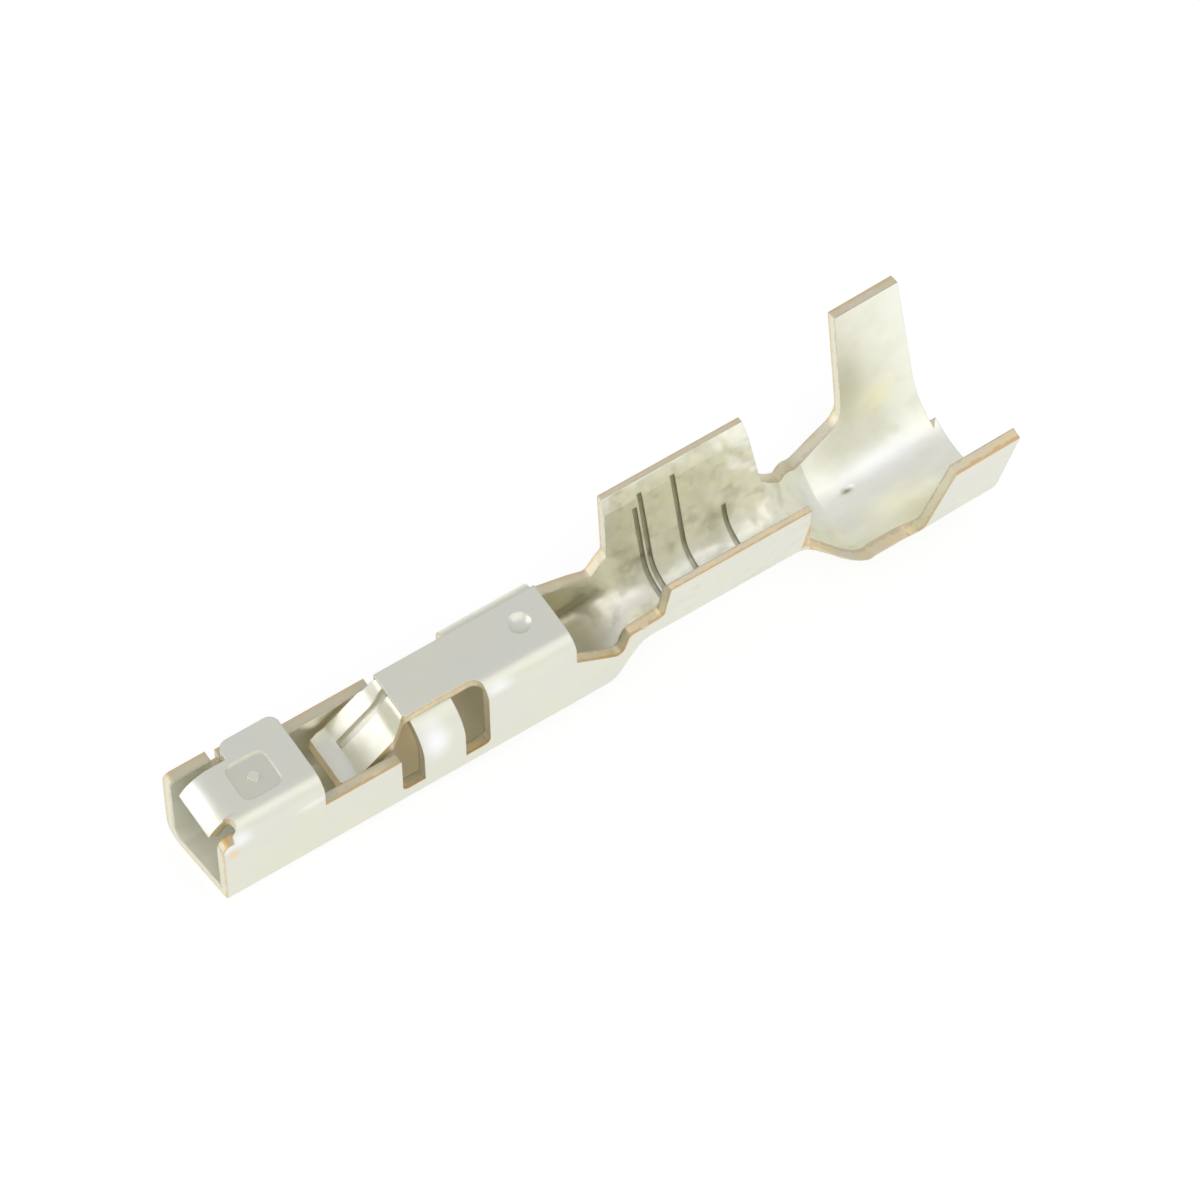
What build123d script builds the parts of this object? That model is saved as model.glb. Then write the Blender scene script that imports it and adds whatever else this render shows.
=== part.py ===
from build123d import *
import math
import os

# A female crimp terminal for a 2.5 mm pitch connector, folded from one strip of
# tin-plated copper alloy. +X runs from the mouth towards the wire, +Y is the
# side wall that carries the seam, and Z = 0 is the underside of the box floor.

# Sheet and contact box
sheet = 0.2
box_width = 1.6
box_height = 1.95
seam_gap = 0.03
mouth_skew = 0.155
floor_radius_seam_side = 0.4
floor_radius_fold_side = 0.12
roof_radius = 0.34
roof_inset = 0.34
flap_radius = 0.3
flap_reach = 0.46

# Lengths along the box, from the mouth to the rear
panel_start = 0.8
panel_length = 1.07
window_length = 1.41
slot_length = 1.65
strip_setback = 0.28
rear_box_length = 1.65

# Front panel with its curled lip and its coined contact pad
panel_edge_inset = 0.06
panel_corner = 0.18
lip_side = 0.43
lip_width = 0.9
lip_radius = 0.66
lip_angle = 58
lip_front = -0.08
lip_drop = 0.01
relief_end = 0.2
relief_radius = 0.13
fold_wall_drop = 0.3
wall_corner = 0.14
seam_wall_rise = 0.1
seam_wall_notch_depth = 0.27
seam_wall_notch_length = 0.17
pad_offset = 0.22
pad_side = 0.31
pad_size = 0.72
pad_corner = 0.16
pad_depth = 0.05
pad_button_radius = 0.1

# Window, side slots and the tabs that are pushed in under the roof strip
sill_drop_fold_side = 0.68
sill_drop_seam_side = 0.61
slot_floor = 0.34
slot_radius = 0.12
strip_width = 0.92
strip_radius = 0.18
tab_gap = 0.14
tab_length = 0.77
tab_bend_drop = 0.59
tab_clearance = 0.12
tab_push = 0.5
tab_bend = 0.75

# Spring beam: reaches are measured forward from the front edge of the roof strip
beam_root_width = 0.8
beam_width = 1.06
beam_root_radius = 0.25
beam_shoulder_reach = 0.26
beam_knee_reach = 0.2
beam_knee_drop = 0.37
beam_knee_radius = 0.4
beam_foot_reach = 1.0
beam_foot_drop = 0.97
beam_foot_radius = 0.3
beam_taper_reach = 1.06
beam_tip_reach = 1.22
beam_tip_rise = 0.05
beam_tip_width = 0.76
groove_side = 0.12
groove_width = 0.16
groove_depth = 0.07
groove_reach = 0.9
groove_end_drop = 0.89

# Pressed dimple on the rear roof, placed from the rear end of the box
dimple_setback = 0.57
dimple_radius = 0.2
dimple_depth = 0.09

# Open channel between the box and the conductor barrel
straight_channel = 0.62
opening_length = 0.9

# Conductor barrel, with serrations placed from its front end
conductor_length = 2.85
conductor_radius = 0.7
conductor_floor = 0.14
conductor_lean = 12
conductor_height = 2.28
serrations = ((0.54, 1.8), (0.67, 2.05), (1.3, 2.05), (2.11, 0.8))
serration_width = 0.09
serration_depth = 0.06
tip_bevel_height = 0.3
tip_bevel_depth = 0.08

# Neck, insulation barrel and the stub of the carrier strip
neck_length = 1.08
insulation_length = 2.32
insulation_radius = 1.35
insulation_floor = -0.5
insulation_front_floor = -0.6
insulation_lean = 14
insulation_height = 3.14
stub_length = 0.12
stub_width = 1.2

# Side outline of the wings. The waist is given as distances from the box and
# heights, and the neck as distances from the conductor barrel and heights
wing_top = 2.75
shoulder_height = 1.3
fold_side_waist = ((0.88, 0.7), (1.01, 1.2))
seam_side_waist = ((1.12, 0.92), (1.35, 1.16))
fold_side_foot_lead = -0.13
seam_side_foot_lead = 0.04
barrel_foot_height = 1.25
wing_front_setback = 0.1
wing_rear_setback = 0.11
fold_side_neck = ((0.13, 0.75), (0.5, 0.33), (1.15, -0.05))
seam_side_neck = ((0.04, 1.02), (0.5, 0.4), (1.0, 0.05))
wing_foot_setback = 0.92
fold_side_wing_foot = 0.02
seam_side_wing_foot = 0.42
rear_wing_setback = 1.1
waist_radius = 0.12
outline_radius = 0.25
wing_foot_radius = 0.4
wing_tip_radius = 0.08

# Places worked out from the sizes above
half_width = box_width / 2
roof_under = box_height - sheet
flap_top = roof_under - seam_gap
panel_end = panel_start + panel_length
slot_start = panel_end + window_length
strip_start = slot_start + strip_setback
slot_end = slot_start + slot_length
box_end = slot_end + rear_box_length
channel_bend = box_end + straight_channel
conductor_start = channel_bend + opening_length
conductor_end = conductor_start + conductor_length
insulation_start = conductor_end + neck_length
insulation_end = insulation_start + insulation_length

# Sizes that only have to be large or small enough
above = box_height + insulation_height
beyond = 2 * box_width
margin = 0.01
loft_shares = (0, 0.25, 0.5, 0.75, 1)


def folded_sheet(plane, points, radii, thickness=sheet):
    """Section of the folded sheet, to the right of its outer line, with true bends."""
    corners = [Vector(*point) for point in points]
    inner_corners = []
    inner_radii = []
    for index, corner in enumerate(corners):
        last = corners[max(index - 1, 0)]
        following = corners[min(index + 1, len(corners) - 1)]
        leave = (following - corner) if following != corner else (corner - last)
        arrive = (corner - last) if last != corner else leave
        side_in = Vector(arrive.Y, -arrive.X).normalized()
        side_out = Vector(leave.Y, -leave.X).normalized()
        miter = (side_in + side_out) / (1 + side_in.dot(side_out))
        inner_corners.append(corner + miter * thickness)
        if 0 < index < len(corners) - 1:
            turns_left = side_in.cross(side_out).Z > 0
            inner_radius = radii[index - 1] + (thickness if turns_left else -thickness)
            inner_radii.append(max(inner_radius, margin))
    with BuildSketch(plane) as section:
        with BuildLine():
            FilletPolyline(*corners, radius=radii)
            FilletPolyline(*inner_corners, radius=inner_radii)
            Line(corners[0], inner_corners[0])
            Line(corners[-1], inner_corners[-1])
        make_face()
    return section.sketch


def across(x):
    """Plane across the terminal at a distance from the mouth."""
    return Plane.YZ.offset(x)


def channel_line(flat_half, floor_z, lean, height):
    """Outer line of an open channel whose arms lean outwards."""
    tip = flat_half + height * math.tan(math.radians(lean))
    return [
        (tip, floor_z + height),
        (flat_half, floor_z),
        (-flat_half, floor_z),
        (-tip, floor_z + height),
    ]


def round_floor(radius, lean):
    """Half width of the floor at which both corner arcs meet at its middle."""
    return radius * math.tan(math.radians(90 - lean) / 2) + margin


def between(start, end, share):
    """Value on a curve that leaves start and reaches end without a step in slope."""
    return start + (end - start) * share * share * (3 - 2 * share)


def side_outline(waist, foot_lead, neck, wing_foot):
    """Side view of the open channel, its wings and its neck."""
    waist_radii = [waist_radius] * 3
    tip_radii = [wing_tip_radius] * 2
    neck_radii = [outline_radius] * 3
    outline_radii = [*waist_radii, *tip_radii, *neck_radii, wing_foot_radius, *tip_radii]
    with BuildSketch(Plane.XZ) as outline:
        with BuildLine():
            FilletPolyline(
                (box_end - margin, shoulder_height),
                *((box_end + distance, height) for distance, height in waist),
                (conductor_start - foot_lead, barrel_foot_height),
                (conductor_start + wing_front_setback, wing_top),
                (conductor_end - wing_rear_setback, wing_top),
                *((conductor_end + distance, height) for distance, height in neck),
                (insulation_start + wing_foot_setback, wing_foot),
                (insulation_start + rear_wing_setback, wing_top),
                (insulation_end, wing_top),
                (insulation_end, -wing_top),
                radius=outline_radii,
            )
            Polyline(
                (insulation_end, -wing_top),
                (box_end - margin, -wing_top),
                (box_end - margin, shoulder_height),
            )
        make_face()
    return outline.sketch


# Front of the box: floor, two walls and the roof panel over the seam-side wall
front_line = [
    (half_width, flap_top),
    (half_width, 0),
    (-half_width, 0),
    (-half_width, box_height),
    (half_width - panel_edge_inset, box_height),
]
box_radii = [floor_radius_seam_side, floor_radius_fold_side, roof_radius]

# Middle of the box, below the window
sill_line = [
    (half_width, box_height - sill_drop_seam_side),
    (half_width, 0),
    (-half_width, 0),
    (-half_width, box_height - sill_drop_fold_side),
]

# Rear of the box: a flap of the seam-side wall lies under the roof
rear_line = [
    (half_width - flap_reach, flap_top),
    (half_width, flap_top),
    (half_width, 0),
    (-half_width, 0),
    (-half_width, box_height),
    (half_width - roof_inset, box_height),
]

with BuildPart() as box:
    front_section = folded_sheet(across(-mouth_skew), front_line, box_radii)
    extrude(front_section, amount=panel_end + mouth_skew)
    sill_section = folded_sheet(across(panel_end), sill_line, box_radii[:2])
    extrude(sill_section, amount=strip_start - panel_end)
    rear_section = folded_sheet(across(strip_start), rear_line, [flap_radius, *box_radii])
    extrude(rear_section, amount=box_end - strip_start)

    # Slots down both walls, longer on the fold side
    for slot_front, side in ((slot_start, half_width), (strip_start, -half_width)):
        with BuildSketch(Plane.XZ) as slot:
            with Locations((slot_front, slot_floor)):
                Rectangle(slot_end - slot_front, roof_under - slot_floor, align=Align.MIN)
            fillet(slot.vertices().group_by(Axis.Y)[0], radius=slot_radius)
        extrude(amount=2 * side, mode=Mode.SUBTRACT)

    # Roof narrowed to a strip over the slots
    with BuildSketch(Plane.XY.offset(roof_under)) as beside_strip:
        with Locations((slot_start, -strip_width / 2)):
            Rectangle(slot_end - slot_start, half_width, align=(Align.MIN, Align.MAX))
        root = beside_strip.vertices().group_by(Axis.X)[-1].sort_by(Axis.Y)[-1]
        fillet(root, radius=strip_radius)
    extrude(amount=beyond, mode=Mode.SUBTRACT)

    # Roof cut back at the mouth, on the seam side to the front panel
    with BuildSketch(Plane.XY.offset(flap_top)):
        with Locations((panel_start, -half_width)):
            Rectangle(panel_start + beyond, beyond, align=(Align.MAX, Align.MIN))
        with Locations((relief_end, lip_side - lip_width)):
            Rectangle(
                panel_start - relief_end,
                lip_width,
                align=(Align.MIN, Align.MAX),
                mode=Mode.SUBTRACT,
            )
    extrude(amount=above, mode=Mode.SUBTRACT)

    # Seam-side wall at the mouth, higher than the panel gap and notched behind
    notch_start = panel_start - seam_wall_notch_length
    with Locations((-mouth_skew, half_width, flap_top)):
        Box(
            notch_start + mouth_skew,
            sheet,
            seam_wall_rise,
            align=(Align.MIN, Align.MAX, Align.MIN),
        )
    with Locations((notch_start, half_width, flap_top)):
        Box(
            seam_wall_notch_length,
            sheet,
            seam_wall_notch_depth,
            align=(Align.MIN, Align.MAX, Align.MAX),
            mode=Mode.SUBTRACT,
        )

    # Front corner of that wall, rounded
    seam_wall_corner = (
        box.edges().filter_by(Axis.Y).group_by(Axis.X)[0].sort_by(Axis.Z)[-1]
    )
    fillet(seam_wall_corner, radius=wall_corner)

    # Fold-side wall lowered at the mouth, with a round relief beside the lip
    with BuildSketch(Plane.XY.offset(box_height - fold_wall_drop)):
        with Locations((relief_end, lip_side - lip_width)):
            Rectangle(relief_end + beyond, beyond, align=Align.MAX)
        with Locations((relief_end, lip_side - lip_width - relief_radius)):
            Circle(relief_radius)
    extrude(amount=above, mode=Mode.SUBTRACT)

    # Front corner of the lowered wall, rounded
    corner_height = box_height - fold_wall_drop - wall_corner
    with BuildSketch(Plane.XZ.offset(half_width)):
        with Locations((wall_corner, corner_height)):
            Rectangle(wall_corner + mouth_skew, 2 * wall_corner, align=(Align.MAX, Align.MIN))
            Circle(wall_corner, mode=Mode.SUBTRACT)
    extrude(amount=-sheet, mode=Mode.SUBTRACT)

    # Mouth, cut at a slant so that the seam side reaches further forward
    with BuildSketch():
        with BuildLine():
            Polyline(
                (-mouth_skew, -half_width),
                (0, -half_width),
                (-mouth_skew, half_width),
                close=True,
            )
        make_face()
    extrude(amount=above, mode=Mode.SUBTRACT)

    # Rounded corners of the front panel on the seam side
    panel_corners = (
        box.edges()
        .filter_by(Axis.Z)
        .filter_by_position(Axis.Y, half_width - panel_edge_inset - margin, half_width)
        .filter_by_position(Axis.X, panel_start - margin, panel_end + margin)
        .filter_by_position(Axis.Z, roof_under - margin, box_height + margin)
    )
    fillet(panel_corners, radius=panel_corner)

# Lip of the front panel, curled down over the mouth
lip_end = lip_radius * math.tan(math.radians(lip_angle) / 2) + lip_drop
lip_lean = lip_end * math.cos(math.radians(lip_angle))
lip_fall = lip_end * math.sin(math.radians(lip_angle))
with BuildPart() as lip:
    lip_line = [
        (lip_front, box_height - lip_fall),
        (lip_front + lip_lean, box_height),
        (panel_start + sheet, box_height),
    ]
    lip_section = folded_sheet(Plane.XZ.offset(-lip_side), lip_line, [lip_radius])
    extrude(lip_section, amount=lip_width)

# Coined pad: sunk into the panel around a button, and pushed through below
with BuildPart() as pad_sink:
    with BuildSketch(Plane.XY.offset(box_height - pad_depth)):
        with Locations((panel_start + pad_offset, pad_side - pad_size / 2)):
            RectangleRounded(pad_size, pad_size, pad_corner)
            Circle(pad_button_radius, mode=Mode.SUBTRACT)
    extrude(amount=sheet)

with BuildPart() as pad_swell:
    with BuildSketch(Plane.XY.offset(roof_under - pad_depth)):
        with Locations((panel_start + pad_offset, pad_side - pad_size / 2)):
            RectangleRounded(pad_size, pad_size, pad_corner)
    extrude(amount=sheet)

# Tabs of both walls, pushed in under the roof strip
tab_line = [
    (-half_width, slot_floor - sheet),
    (-half_width, box_height - tab_bend_drop),
    (-half_width + tab_push, roof_under - tab_clearance),
]
with BuildPart() as tabs:
    tab_section = folded_sheet(across(strip_start + tab_gap), tab_line, [tab_bend])
    extrude(tab_section, amount=tab_length)
    mirror(about=Plane.XZ)

# Spring beam: down from the strip, over the knee, and up again at the free end
with BuildPart() as beam:
    foot_height = box_height - beam_foot_drop
    knee = (strip_start - beam_knee_reach, box_height - beam_knee_drop)
    beam_line = [
        (strip_start - beam_tip_reach, foot_height + beam_tip_rise),
        (strip_start - beam_foot_reach, foot_height),
        knee,
        (strip_start, box_height),
        (strip_start + beam_root_radius, box_height),
    ]
    beam_radii = [beam_foot_radius, beam_knee_radius, beam_root_radius]
    extrude(folded_sheet(Plane.XZ, beam_line, beam_radii), amount=half_width, both=True)

    # Outline from above: narrow root, full width, tapered free end
    with BuildSketch():
        with BuildLine():
            Polyline(
                (strip_start + beam_root_radius, beam_root_width / 2),
                (strip_start, beam_root_width / 2),
                (strip_start - beam_shoulder_reach, beam_width / 2),
                (strip_start - beam_taper_reach, beam_width / 2),
                (strip_start - beam_tip_reach - sheet, beam_tip_width / 2),
                (strip_start - beam_tip_reach - sheet, 0),
                (strip_start + beam_root_radius, 0),
                close=True,
            )
        make_face()
        mirror(about=Plane.XZ)
    extrude(amount=above, mode=Mode.INTERSECT)

    # Stiffening groove down the slope, a little off the middle
    groove_end = (strip_start - groove_reach, box_height - groove_end_drop)
    groove_line = [groove_end, knee, (strip_start, box_height)]
    groove_plane = Plane.XZ.offset(-groove_side)
    groove_section = folded_sheet(groove_plane, groove_line, [beam_knee_radius], groove_depth)
    extrude(groove_section, amount=groove_width / 2, both=True, mode=Mode.SUBTRACT)

# Dimple pressed into the rear roof, as a ball-shaped cup of even thickness
cup_radius = (dimple_radius**2 + dimple_depth**2) / (2 * dimple_depth)
cup_height = box_height - dimple_depth + cup_radius
with BuildPart() as dimple_swell:
    with Locations((box_end - dimple_setback, 0, cup_height)):
        Sphere(cup_radius + sheet)
    with Locations((box_end - dimple_setback, 0, roof_under + margin)):
        Box(beyond, beyond, beyond, align=(Align.CENTER, Align.CENTER, Align.MIN), mode=Mode.SUBTRACT)

with BuildPart() as dimple_sink:
    with Locations((box_end - dimple_setback, 0, cup_height)):
        Sphere(cup_radius)

# Side outline of the open channel, one half for each side
with BuildPart() as side_shape:
    fold_side = side_outline(
        fold_side_waist, fold_side_foot_lead, fold_side_neck, fold_side_wing_foot
    )
    extrude(fold_side, amount=beyond)
    seam_side = side_outline(
        seam_side_waist, seam_side_foot_lead, seam_side_neck, seam_side_wing_foot
    )
    extrude(seam_side, amount=-beyond)

# Open channel from the box to the rear edge
open_line = channel_line(half_width, 0, 0, box_height)
with BuildPart() as channel:
    extrude(folded_sheet(across(box_end), open_line, box_radii[:2]), amount=straight_channel)

    # Box channel turning into the round conductor barrel
    barrel_half = round_floor(conductor_radius, conductor_lean)
    opening_sections = []
    for share in loft_shares:
        line = channel_line(
            between(half_width, barrel_half, share),
            between(0, conductor_floor, share),
            between(0, conductor_lean, share),
            between(box_height, conductor_height, share),
        )
        radii = [between(radius, conductor_radius, share) for radius in box_radii[:2]]
        plane = across(channel_bend + opening_length * share)
        opening_sections.append(folded_sheet(plane, line, radii).face())
    loft(opening_sections)

    # Conductor barrel
    conductor_line = channel_line(barrel_half, conductor_floor, conductor_lean, conductor_height)
    conductor_section = folded_sheet(across(conductor_start), conductor_line, [conductor_radius] * 2)
    extrude(conductor_section, amount=conductor_length)

    # Neck, widening and sinking into the insulation barrel
    neck_sections = []
    for share in loft_shares:
        radius = between(conductor_radius, insulation_radius, share)
        lean = between(conductor_lean, insulation_lean, share)
        line = channel_line(
            round_floor(radius, lean),
            between(conductor_floor, insulation_front_floor, share),
            lean,
            between(conductor_height, insulation_height, share),
        )
        plane = across(conductor_end + neck_length * share)
        neck_sections.append(folded_sheet(plane, line, [radius] * 2).face())
    loft(neck_sections)

    # Insulation barrel, its floor rising a little towards the rear
    barrel_sections = []
    for x, floor_z in ((insulation_start, insulation_front_floor), (insulation_end, insulation_floor)):
        barrel_line = channel_line(
            round_floor(insulation_radius, insulation_lean),
            floor_z,
            insulation_lean,
            insulation_height,
        )
        barrel_sections.append(folded_sheet(across(x), barrel_line, [insulation_radius] * 2).face())
    loft(barrel_sections)

    # Wings, waist and neck cut to their side outline
    add(side_shape.part, mode=Mode.INTERSECT)

    # Serrations across the inside of the conductor barrel
    for setback, height in serrations:
        plane = across(conductor_start + setback)
        line = channel_line(barrel_half, conductor_floor, conductor_lean, height)
        groove = folded_sheet(plane, line, [conductor_radius] * 2)
        web = folded_sheet(plane, line, [conductor_radius] * 2, sheet - serration_depth)
        extrude(groove - web, amount=serration_width, mode=Mode.SUBTRACT)

    # Wing tips of the conductor barrel, bevelled on the inside
    lean = math.radians(conductor_lean)
    up = Vector(math.sin(lean), math.cos(lean))
    inward = Vector(-math.cos(lean), math.sin(lean))
    tip = Vector(*conductor_line[0])
    slant = up * tip_bevel_height - inward * tip_bevel_depth
    with BuildSketch(across(conductor_start)):
        with BuildLine():
            Polyline(
                tip + inward * sheet - up * tip_bevel_height - slant,
                tip + inward * sheet - inward * tip_bevel_depth + slant,
                tip + inward * 2 * sheet,
                close=True,
            )
        make_face()
        mirror(about=Plane.YZ)
    extrude(amount=conductor_length, mode=Mode.SUBTRACT)

# Stub of the carrier strip behind the insulation barrel
with BuildPart() as stub:
    extrude(barrel_sections[-1], amount=stub_length)
    with Locations((insulation_end, 0, 0)):
        Box(2 * stub_length, stub_width, half_width, mode=Mode.INTERSECT)

with BuildPart() as crimp_terminal:
    add(box.part)
    add(lip.part)
    add(pad_swell.part)
    add(pad_sink.part, mode=Mode.SUBTRACT)
    add(tabs.part)
    add(beam.part)
    add(dimple_swell.part)
    add(dimple_sink.part, mode=Mode.SUBTRACT)
    add(channel.part)
    add(stub.part)

os.makedirs("parts", exist_ok=True)
crimp_terminal.part.label = "crimp_terminal"
export_step(crimp_terminal.part, "parts/crimp_terminal.step")
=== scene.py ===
"""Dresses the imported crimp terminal: satin tin plate with bare cut edges, on a white table."""

import bpy
from mathutils import Matrix, Vector
from mathutils.bvhtree import BVHTree

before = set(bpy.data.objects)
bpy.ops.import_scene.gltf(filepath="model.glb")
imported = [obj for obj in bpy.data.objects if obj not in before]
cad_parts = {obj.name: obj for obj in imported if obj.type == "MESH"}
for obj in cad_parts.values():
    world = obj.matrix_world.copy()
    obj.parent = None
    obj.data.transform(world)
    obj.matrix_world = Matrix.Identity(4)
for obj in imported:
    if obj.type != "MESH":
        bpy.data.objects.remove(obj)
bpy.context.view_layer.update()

MM = 0.001
NODE = "crimp_terminal"
SHEET = 0.2 * MM

# Camera fitted to the photo: its place in millimetres, and its axes
CAMERA_PLACE = Vector((-27.0656, -55.0695, 111.5469)) * MM
CAMERA_RIGHT = Vector((0.83940425, -0.54344813, -0.00804110))
CAMERA_DOWN = Vector((-0.47155450, -0.72084211, -0.50795965))
CAMERA_FORWARD = Vector((0.27025336, 0.43017530, -0.86134333))
LENS_MM = 240
SENSOR_MM = 36
CLIP_START = 10 * MM
CLIP_END = 10

# Places of the part, in millimetres: a box is its low and its high corner
MIDDLE_HEIGHT = 0.9
BOX_END = 6.6
BARREL_START = 8.1
BARREL_FADE = (11.1, 12.2)
SLOT_FADE = (5.6, 5.2)
BARREL_INSIDE = ((8.5, -1.4, 0.2), (10.5, 1.4, 2.1))
BEAM_GROOVE = ((2.2, 0.03, 0.8), (3.62, 0.21, 2.0))
PAD = ((0.64, -0.43, 1.6), (1.4, 0.33, 1.96))
PAD_SINK = ((0.64, -0.43, 1.88), (1.4, 0.33, 1.92))
FOLD_CORNER = ((0.02, -0.81, -0.01), (8.4, -0.5, 0.22))
HALF_WIDTH = 0.8
STRAIGHT_END = 7.2
DIMPLE = ((5.7, -0.35, 1.5), (6.35, 0.35, 2.0))
REAR_REST = (12.03, -0.6)

# What tells a plated skin from a sheared edge: a ray into the face meets the other skin
# about one sheet behind it, square on. The ray starts some millimetres deep, and
# thicknesses are in sheets.
RAY_START = 0.004
NO_SHEET = 99
SKIN_THICKNESS = 1.22
SKIN_FACING = 0.85
GROOVE_THICKNESS = 0.7
GROOVE_SPREAD = 0.025

# Painted shade: how much a pressed face is darkened
SERRATION_SHADE = 1.0
BEAM_GROOVE_SHADE = 0.45
PAD_SINK_SHADE = 0.25

# Colours of the plated skin
TIN_COOL = (0.785, 0.79, 0.69)
TIN_WARM = (0.81, 0.80, 0.665)
# painted light: the inner skin is a lighter tin than the outer one, to lift the shade inside the
# box and barrels
TIN_INSIDE_PAINTED_LIGHT = (0.95, 0.95, 0.83)
TIN_STAINED = (0.62, 0.60, 0.42)
TIN_BEATEN = (1.0, 0.98, 0.82)
# painted shade in the serrations, the beam groove and the pad sink
TIN_GROOVE_SHADE = (0.42, 0.40, 0.29)
TIN_METALLIC = 0.82

# Colours of the sheared edge
EDGE_TINNED = (0.74, 0.70, 0.54)
EDGE_SMEARED = (0.70, 0.63, 0.46)
EDGE_BOX = (0.58, 0.56, 0.42)
# painted reflection: cut faces turned to the front are paler, as if mirroring the bright light
# there
EDGE_FRONT_SHEEN = (0.88, 0.87, 0.69)
EDGE_COPPER = (0.86, 0.72, 0.45)
EDGE_OUTER = (0.74, 0.53, 0.27)
EDGE_INNER = (0.56, 0.48, 0.32)
EDGE_ROUGHNESS = 0.45
EDGE_METALLIC = 0.7

# Small marks in the neck and the insulation barrel: place, radius, stretch
DENT = ((12.53, 0.32, -0.33), 0.13, (1.5, 0.75, 0.5))
DISC = ((12.06, 1.07, 0.09), 0.12)

# Patches painted into the tin's colour, most of them painted highlights, painted shade and painted
# reflections: place, radius, stretch, strength, colour
INNER_PATCHES = (
    # painted highlights along the floors of the insulation and conductor barrels
    ((13.2, 0.48, -0.22), 0.42, (4.5, 0.9, 0.9), 0.9, (1.0, 1.0, 0.98)),
    ((9.7, 0.33, 0.5), 0.36, (5.0, 1.0, 1.0), 0.6, (1.0, 1.0, 0.92)),
    # painted reflection on the far insulation wing: a darker olive patch and a bright patch
    ((13.1, 1.3, 1.1), 0.85, (0.75, 1.0, 1.4), 0.85, (0.72, 0.70, 0.55)),
    ((13.62, 1.13, 0.55), 0.50, (1.0, 1.0, 0.9), 0.9, (1.0, 0.98, 0.72)),
    # darker and yellower on the near insulation wing, low down
    ((13.4, -0.75, -0.1), 0.6, (1.6, 1.0, 1.0), 0.7, (0.80, 0.77, 0.58)),
    # painted shade inside the neck channel behind the box
    ((6.9, 0.2, 0.7), 1.5, (0.8, 1.0, 1.0), 0.95, (0.63, 0.59, 0.41)),
    ((7.15, -0.1, 0.15), 0.95, (0.75, 1.4, 0.9), 1.0, (0.46, 0.43, 0.28)),
    # painted reflection: a warm copper tone inside the box, seen through its windows
    ((4.1, 0.2, 0.8), 2.0, (1.2, 1.0, 1.0), 0.95, (1.0, 0.88, 0.65)),
    # painted light inside the mouth
    ((0.4, 0.4, 0.7), 1.2, (1.0, 1.0, 1.0), 1.0, (1.0, 1.0, 0.93)),
    # painted shade in the dent
    (DENT[0], 0.10, (1.6, 0.6, 0.6), 1.0, (0.34, 0.33, 0.25)),
)
OUTER_PATCHES = (
    # painted highlight on the near tab
    ((3.97, -0.74, 1.22), 0.46, (0.8, 1.0, 1.4), 1.0, (1.0, 1.0, 1.0)),
    # painted highlight on the spring beam
    ((3.0, 0.0, 1.3), 0.9, (1.0, 1.0, 1.0), 0.3, (0.98, 0.98, 0.96)),
    # painted highlight along the lip
    ((-0.02, 0.15, 1.75), 0.4, (1.0, 1.8, 1.0), 0.8, (1.0, 1.0, 1.0)),
    # painted shade at the beam's tip
    ((2.2, 0.1, 0.9), 0.5, (1.0, 1.3, 1.0), 0.9, (0.80, 0.76, 0.60)),
    # painted highlights along the roof bend
    ((1.65, -0.74, 1.54), 0.16, (3.0, 1.0, 1.0), 0.9, (1.0, 1.0, 1.0)),
    ((5.15, -0.74, 1.80), 0.16, (2.5, 1.0, 1.0), 0.9, (1.0, 1.0, 1.0)),
    # painted highlights at the mouth's near top corner
    ((0.03, -0.72, 1.60), 0.24, (1.0, 1.0, 1.0), 0.9, (1.0, 1.0, 1.0)),
    ((0.32, -0.79, 1.66), 0.30, (1.0, 1.0, 1.0), 0.8, (1.0, 1.0, 1.0)),
    # a bare copper spot on the near wall at the mouth
    ((0.17, -0.80, 1.36), 0.20, (1.0, 1.0, 1.0), 0.6, (0.90, 0.66, 0.30)),
)

# White table, as light sees it and as the camera and reflections see it
TABLE_REACH = 0.6
TABLE_PLAIN = 0.8
TABLE_SHADED = 0.36
TABLE_GLOW = 0.72

# Light tent, low down and overhead
TENT_LOW = (0.68, 0.68, 0.66)
TENT_OVERHEAD = (0.70, 0.70, 0.75)

# Soft light of the tent: direction, cosines where it is full and where it ends, radiance
SOFT_BOXES = (
    ((0.0, -1.0, 0.15), 0.80, 0.35, 0.97),
    ((-0.81, 0.47, 0.32), 0.965, 0.86, 1.85),
    ((0.28, -0.57, 0.77), 0.965, 0.87, 1.2),
    ((-0.40, -0.50, 0.77), 0.95, 0.85, 1.15),
)


def make_camera():
    """The camera of the photo."""
    data = bpy.data.cameras.new("camera")
    data.lens = LENS_MM
    data.sensor_width = SENSOR_MM
    data.clip_start = CLIP_START
    data.clip_end = CLIP_END
    camera = bpy.data.objects.new("camera", data)
    turn = Matrix((CAMERA_RIGHT, -CAMERA_DOWN, -CAMERA_FORWARD)).transposed()
    camera.matrix_world = Matrix.Translation(CAMERA_PLACE) @ turn.to_4x4()
    bpy.context.scene.collection.objects.link(camera)
    bpy.context.scene.camera = camera


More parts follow.
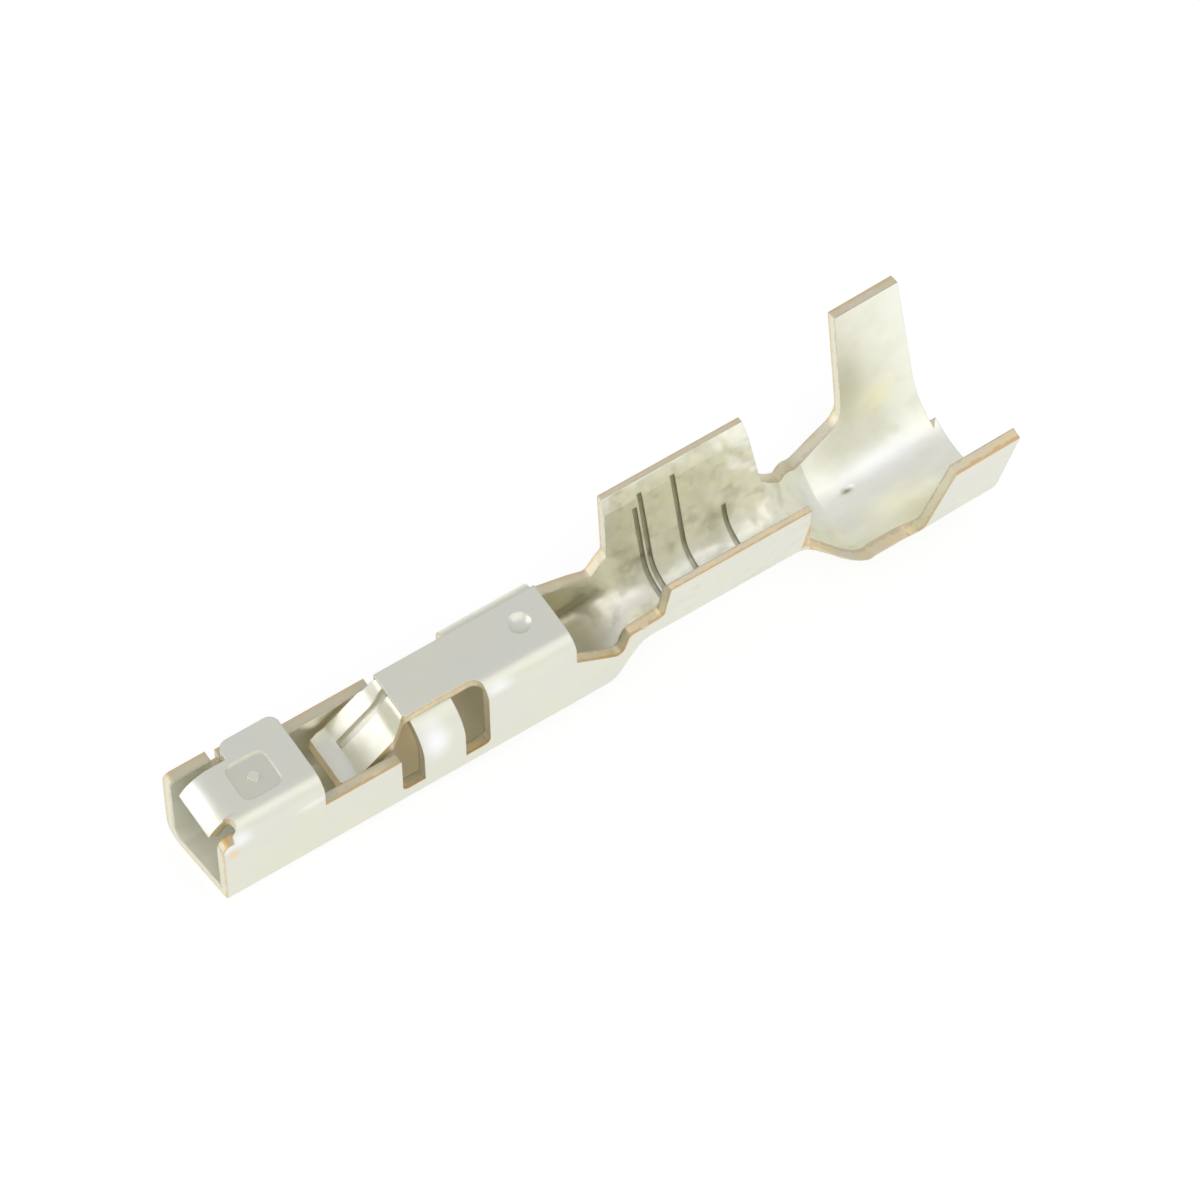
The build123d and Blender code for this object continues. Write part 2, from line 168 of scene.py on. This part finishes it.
class Nodes:
    """Short forms for building one node tree."""

    def __init__(self, tree):
        self.tree = tree
        tree.nodes.clear()

    def add(self, kind, **values):
        """A new node with its settings."""
        node = self.tree.nodes.new(kind)
        for name, value in values.items():
            setattr(node, name, value)
        return node

    def link(self, start, end):
        self.tree.links.new(start, end)

    def fill(self, socket, value):
        """Links a socket, or sets it where the value is a number or a colour."""
        if isinstance(value, (int, float)):
            socket.default_value = value
        elif isinstance(value, tuple):
            socket.default_value = (*value, 1) if socket.type == "RGBA" else value
        else:
            self.link(value, socket)

    def math(self, operation, *values, clamp=False):
        node = self.add("ShaderNodeMath", operation=operation, use_clamp=clamp)
        for socket, value in zip(node.inputs, values):
            self.fill(socket, value)
        return node.outputs[0]

    def coordinates(self, scale=(1, 1, 1)):
        """Object coordinates in millimetres, stretched by scale."""
        place = self.add("ShaderNodeTexCoord")
        mapping = self.add("ShaderNodeMapping")
        mapping.inputs["Scale"].default_value = [s / MM for s in scale]
        self.link(place.outputs["Object"], mapping.inputs["Vector"])
        return mapping.outputs["Vector"]

    def split(self, vector):
        """The three axes of a vector."""
        node = self.add("ShaderNodeSeparateXYZ")
        self.link(vector, node.inputs[0])
        return node.outputs

    def noise(self, vector, scale, detail=2.0, distortion=0.0):
        node = self.add("ShaderNodeTexNoise")
        node.inputs["Scale"].default_value = scale
        node.inputs["Detail"].default_value = detail
        node.inputs["Distortion"].default_value = distortion
        self.link(vector, node.inputs["Vector"])
        return node.outputs["Fac"]

    def spread(self, value, low, high, out_low=0.0, out_high=1.0, smooth=False):
        node = self.add("ShaderNodeMapRange")
        if smooth:
            node.interpolation_type = "SMOOTHSTEP"
        node.inputs["From Min"].default_value = low
        node.inputs["From Max"].default_value = high
        node.inputs["To Min"].default_value = out_low
        node.inputs["To Max"].default_value = out_high
        self.link(value, node.inputs["Value"])
        return node.outputs["Result"]

    def mix_colour(self, factor, first, second):
        node = self.add("ShaderNodeMix", data_type="RGBA")
        sockets = [s for s in node.inputs if s.enabled]
        self.fill(sockets[0], factor)
        self.fill(sockets[1], first)
        self.fill(sockets[2], second)
        return next(s for s in node.outputs if s.enabled)

    def bump(self, height, distance, normal=None):
        node = self.add("ShaderNodeBump")
        node.inputs["Strength"].default_value = 1
        node.inputs["Distance"].default_value = distance * MM
        self.link(height, node.inputs["Height"])
        if normal is not None:
            self.link(normal, node.inputs["Normal"])
        return node.outputs["Normal"]

    def spot(self, vector, place, radius, stretch=(1, 1, 1)):
        """One at a place, falling to nothing at a radius times the stretch of each axis."""
        shift = self.add("ShaderNodeVectorMath", operation="SUBTRACT")
        self.link(vector, shift.inputs[0])
        shift.inputs[1].default_value = place
        squeeze = self.add("ShaderNodeVectorMath", operation="DIVIDE")
        self.link(shift.outputs[0], squeeze.inputs[0])
        squeeze.inputs[1].default_value = stretch
        length = self.add("ShaderNodeVectorMath", operation="LENGTH")
        self.link(squeeze.outputs[0], length.inputs[0])
        return self.spread(length.outputs["Value"], 0.0, radius, 1.0, 0.0, smooth=True)

    def soft_edges(self, radius):
        """Normal that rounds every edge a little, as pressing leaves it."""
        node = self.add("ShaderNodeBevel", samples=6)
        node.inputs["Radius"].default_value = radius * MM
        return node.outputs["Normal"]

    def finish(self, colour, roughness, normal, metallic):
        shader = self.add("ShaderNodeBsdfPrincipled")
        shader.inputs["Metallic"].default_value = metallic
        self.fill(shader.inputs["Base Color"], colour)
        self.fill(shader.inputs["Roughness"], roughness)
        self.link(normal, shader.inputs["Normal"])
        out = self.add("ShaderNodeOutputMaterial")
        self.link(shader.outputs[0], out.inputs["Surface"])


def new_material(name):
    """A material with an empty node tree, and the short forms for filling it."""
    material = bpy.data.materials.new(name)
    material.use_nodes = True
    return material, Nodes(material.node_tree)


def tin_plate():
    """Satin tin: greenish silver, yellower in patches, beaten soft where it was formed; painted
    light on its inner skin, painted highlights, painted shade and painted reflections in patches,
    painted shade in its grooves.
    """
    material, n = new_material("tin_plate_dressed")
    even = n.coordinates()
    along = n.coordinates((0.1, 1, 1))
    x = n.split(even)[0]
    worked = n.spread(x, BOX_END - 0.3, BARREL_START, 0.18, 1.0, smooth=True)
    barrel = n.math("MULTIPLY", worked, n.spread(x, *BARREL_FADE, 1.0, 0.2, smooth=True))
    inner = n.add("ShaderNodeAttribute", attribute_name="inner").outputs["Fac"]
    groove_shade = n.add("ShaderNodeAttribute", attribute_name="groove_shade").outputs["Fac"]

    cloudy = n.spread(n.noise(even, 1.1, 3.0), 0.42, 0.66)
    colour = n.mix_colour(cloudy, TIN_COOL, TIN_WARM)
    # painted light: the inner skin is made lighter
    colour = n.mix_colour(inner, colour, TIN_INSIDE_PAINTED_LIGHT)
    handled = n.math("MULTIPLY", barrel, inner)
    stain = n.math("MULTIPLY", n.spread(n.noise(even, 2.4, 2.0), 0.46, 0.68), handled)
    colour = n.mix_colour(n.math("MULTIPLY", stain, 0.65), colour, TIN_STAINED)
    bright = n.math("MULTIPLY", n.spread(n.noise(even, 3.1, 2.0), 0.46, 0.58), handled)
    colour = n.mix_colour(n.math("MULTIPLY", bright, 0.85), colour, TIN_BEATEN)
    outer = n.math("SUBTRACT", 1, inner)
    for patches, side in ((INNER_PATCHES, inner), (OUTER_PATCHES, outer)):
        for place, radius, stretch, strength, tint in patches:
            spot = n.math("MULTIPLY", n.spot(even, place, radius, stretch), side)
            colour = n.mix_colour(n.math("MULTIPLY", spot, strength), colour, tint)
    # painted shade darkens the serrations, the beam groove and the pad sink
    colour = n.mix_colour(n.math("MULTIPLY", groove_shade, 0.75), colour, TIN_GROOVE_SHADE)
    streaks = n.spread(n.noise(along, 9, 3.0), 0.3, 0.75, 0.31, 0.40)

    swell = n.math("MULTIPLY", n.noise(even, 1.0, 1.0), worked)
    waves = n.bump(swell, 0.07, n.soft_edges(0.025))
    hammered = n.bump(n.math("MULTIPLY", n.noise(even, 2.7, 1.0), barrel), 0.05, waves)
    lines = n.bump(n.noise(along, 16, 2.0), 0.0003, hammered)
    dented = n.bump(n.math("MULTIPLY", n.spot(even, *DENT), -1), 0.035, lines)
    normal = n.bump(n.spot(even, *DISC), 0.02, dented)
    n.finish(colour, streaks, normal, TIN_METALLIC)
    return material


def cut_edge():
    """Sheared edge: tin smeared over most of it, bare copper alloy along its borders; a painted
    reflection makes faces turned to the front paler.
    """
    material, n = new_material("cut_edge_dressed")
    even = n.coordinates()
    x, y = n.split(even)[:2]
    facing = n.add("ShaderNodeNewGeometry")
    across = n.add("ShaderNodeAttribute", attribute_name="across").outputs["Fac"]

    near = n.spread(y, 0.2, -0.5, 0.2, 1.0)
    # painted reflection: low where a cut face turns to the front (-x), which keeps bare copper off
    # it and gives it the pale front sheen
    outside_front_sheen = n.spread(n.split(facing.outputs["Normal"])[0], -0.95, -0.6, 0.15, 1.0)
    bare = n.math("MULTIPLY", near, outside_front_sheen)
    blotch = n.spread(n.noise(even, 2.2, 3.0), 0.36, 0.62)
    ragged = n.spread(n.noise(even, 9, 2.0), 0.3, 0.7, -0.12, 0.12)
    place = n.math("ADD", across, ragged)
    outer = n.spread(place, 0.62, 0.9, smooth=True)
    inner = n.spread(place, 0.22, 0.06, smooth=True)

    tinned = n.mix_colour(blotch, EDGE_TINNED, EDGE_SMEARED)
    tinned = n.mix_colour(n.spread(x, *SLOT_FADE, 0.0, 0.8), tinned, EDGE_BOX)
    # painted reflection on front-facing cut faces
    tinned = n.mix_colour(outside_front_sheen, EDGE_FRONT_SHEEN, tinned)
    copper = n.mix_colour(n.math("MULTIPLY", blotch, bare), tinned, EDGE_COPPER)
    border = n.math("MULTIPLY", outer, n.math("MULTIPLY_ADD", bare, 0.75, 0.5))
    colour = n.mix_colour(border, copper, EDGE_OUTER)
    colour = n.mix_colour(n.math("MULTIPLY", inner, 0.5), colour, EDGE_INNER)

    shear = n.bump(n.noise(n.coordinates((1, 1, 0.2)), 14, 2.0), 0.004, n.soft_edges(0.03))
    n.finish(colour, EDGE_ROUGHNESS, shear, EDGE_METALLIC)
    return material


def inside(point, box):
    """True between the low and the high corner of a box."""
    low, high = box
    return all(a < b < c for a, b, c in zip(low, point, high))


def groove_shade_of(face, place, thickness):
    """How much painted shade a face gets as part of a serration, the beam groove or the pad."""
    grooved = abs(thickness - GROOVE_THICKNESS) < GROOVE_SPREAD
    if inside(place, BARREL_INSIDE) and (grooved or abs(face.normal.x) > 0.9):
        return SERRATION_SHADE
    if inside(place, BEAM_GROOVE) and (thickness < 0.8 or abs(face.normal.y) > 0.9):
        return BEAM_GROOVE_SHADE
    if inside(place, PAD_SINK) and face.normal.z > 0.9:
        return PAD_SINK_SHADE
    return 0.0


def on_wall(face, place):
    """True on the outer skin of the box walls, also where the floor is behind it."""
    level = abs(abs(place.y) - HALF_WIDTH) < 0.01
    return level and abs(face.normal.y) > 0.95 and place.x < STRAIGHT_END


def dress(node):
    """Gives every face of the folded sheet its finish: plated skin, or sheared edge, and the
    painted shade of its grooves.
    """
    mesh = node.data
    mesh.materials.clear()
    mesh.materials.append(tin_plate())
    mesh.materials.append(cut_edge())
    tree = BVHTree.FromPolygons([v.co for v in mesh.vertices], [p.vertices for p in mesh.polygons])

    skins = {}
    # how much painted shade each face gets in a groove
    groove_shade = mesh.attributes.new("groove_shade", "FLOAT", "FACE")
    inner = mesh.attributes.new("inner", "FLOAT", "FACE")
    for face in mesh.polygons:
        place = face.center / MM
        start = face.center - face.normal * RAY_START * MM
        found, normal, _, depth = tree.ray_cast(start, -face.normal)
        thickness = depth / SHEET if found is not None else NO_SHEET
        facing = abs(normal.dot(face.normal)) if found is not None else 0
        face_shade = groove_shade_of(face, place, thickness)
        groove_shade.data[face.index].value = face_shade
        formed = face_shade > 0 or inside(place, PAD) or inside(place, DIMPLE)
        formed = formed or inside(place, FOLD_CORNER) and abs(face.normal.x) < 0.5
        formed = formed or on_wall(face, place)
        plated = formed or thickness < SKIN_THICKNESS and facing > SKIN_FACING
        face.material_index = 0 if plated else 1
        if plated:
            outwards = face.normal.y * place.y + face.normal.z * (place.z - MIDDLE_HEIGHT)
            inner.data[face.index].value = 0.0 if outwards > 0 else 1.0
            for index in face.vertices:
                key = tuple(round(c / MM, 3) for c in mesh.vertices[index].co)
                skins.setdefault(key, []).append(1.0 if outwards > 0 else 0.0)

    # Across a sheared edge, from 0 on its inner border to 1 on its outer one
    across = mesh.attributes.new("across", "FLOAT", "POINT")
    for vertex in mesh.vertices:
        sides = skins.get(tuple(round(c / MM, 3) for c in vertex.co), [0.5])
        across.data[vertex.index].value = sum(sides) / len(sides)


def white_stage():
    """A white table that the terminal lies on, at its mouth and under its rear barrel."""
    slope = REAR_REST[1] / REAR_REST[0]
    mesh = bpy.data.meshes.new("table")
    square = ((-1, -1), (1, -1), (1, 1), (-1, 1))
    corners = [(x * TABLE_REACH, y * TABLE_REACH, x * TABLE_REACH * slope) for x, y in square]
    mesh.from_pydata(corners, [], [(0, 1, 2, 3)])
    table = bpy.data.objects.new("table", mesh)
    bpy.context.scene.collection.objects.link(table)

    material, n = new_material("table_white")
    path = n.add("ShaderNodeLightPath")
    seen = n.math("ADD", path.outputs["Is Camera Ray"], path.outputs["Is Glossy Ray"], clamp=True)
    seen = n.math("ADD", seen, path.outputs["Is Transmission Ray"], clamp=True)
    plain = n.add("ShaderNodeBsdfDiffuse")
    n.fill(plain.inputs["Color"], (TABLE_PLAIN,) * 3)
    shaded = n.add("ShaderNodeBsdfDiffuse")
    n.fill(shaded.inputs["Color"], (TABLE_SHADED,) * 3)
    glow = n.add("ShaderNodeEmission")
    glow.inputs["Strength"].default_value = TABLE_GLOW
    shown = n.add("ShaderNodeAddShader")
    n.link(shaded.outputs[0], shown.inputs[0])
    n.link(glow.outputs[0], shown.inputs[1])
    mix = n.add("ShaderNodeMixShader")
    n.link(seen, mix.inputs[0])
    n.link(plain.outputs[0], mix.inputs[1])
    n.link(shown.outputs[0], mix.inputs[2])
    out = n.add("ShaderNodeOutputMaterial")
    n.link(mix.outputs[0], out.inputs["Surface"])
    mesh.materials.append(material)


def surroundings():
    """A white light tent, brightest low down and a cool grey overhead."""
    world = bpy.data.worlds.new("tent")
    bpy.context.scene.world = world
    world.use_nodes = True
    n = Nodes(world.node_tree)
    path = n.add("ShaderNodeLightPath")
    direction = n.add("ShaderNodeTexCoord").outputs["Generated"]
    overhead = n.spread(n.split(direction)[2], 0.1, 0.8, smooth=True)
    tent = n.mix_colour(overhead, TENT_LOW, TENT_OVERHEAD)
    for towards, full, end, light in SOFT_BOXES:
        aim = n.add("ShaderNodeVectorMath", operation="DOT_PRODUCT")
        n.link(direction, aim.inputs[0])
        aim.inputs[1].default_value = Vector(towards).normalized()
        lit = n.spread(aim.outputs["Value"], end, full, smooth=True)
        tent = n.mix_colour(lit, tent, (light,) * 3)
    room = n.add("ShaderNodeBackground")
    n.link(tent, room.inputs["Color"])
    white = n.add("ShaderNodeBackground")
    white.inputs["Color"].default_value = (1, 1, 1, 1)
    mix = n.add("ShaderNodeMixShader")
    n.link(path.outputs["Is Camera Ray"], mix.inputs[0])
    n.link(room.outputs[0], mix.inputs[1])
    n.link(white.outputs[0], mix.inputs[2])
    out = n.add("ShaderNodeOutputWorld")
    n.link(mix.outputs[0], out.inputs["Surface"])


make_camera()
white_stage()
surroundings()
dress(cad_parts[NODE])

bpy.context.scene.view_settings.view_transform = "Standard"
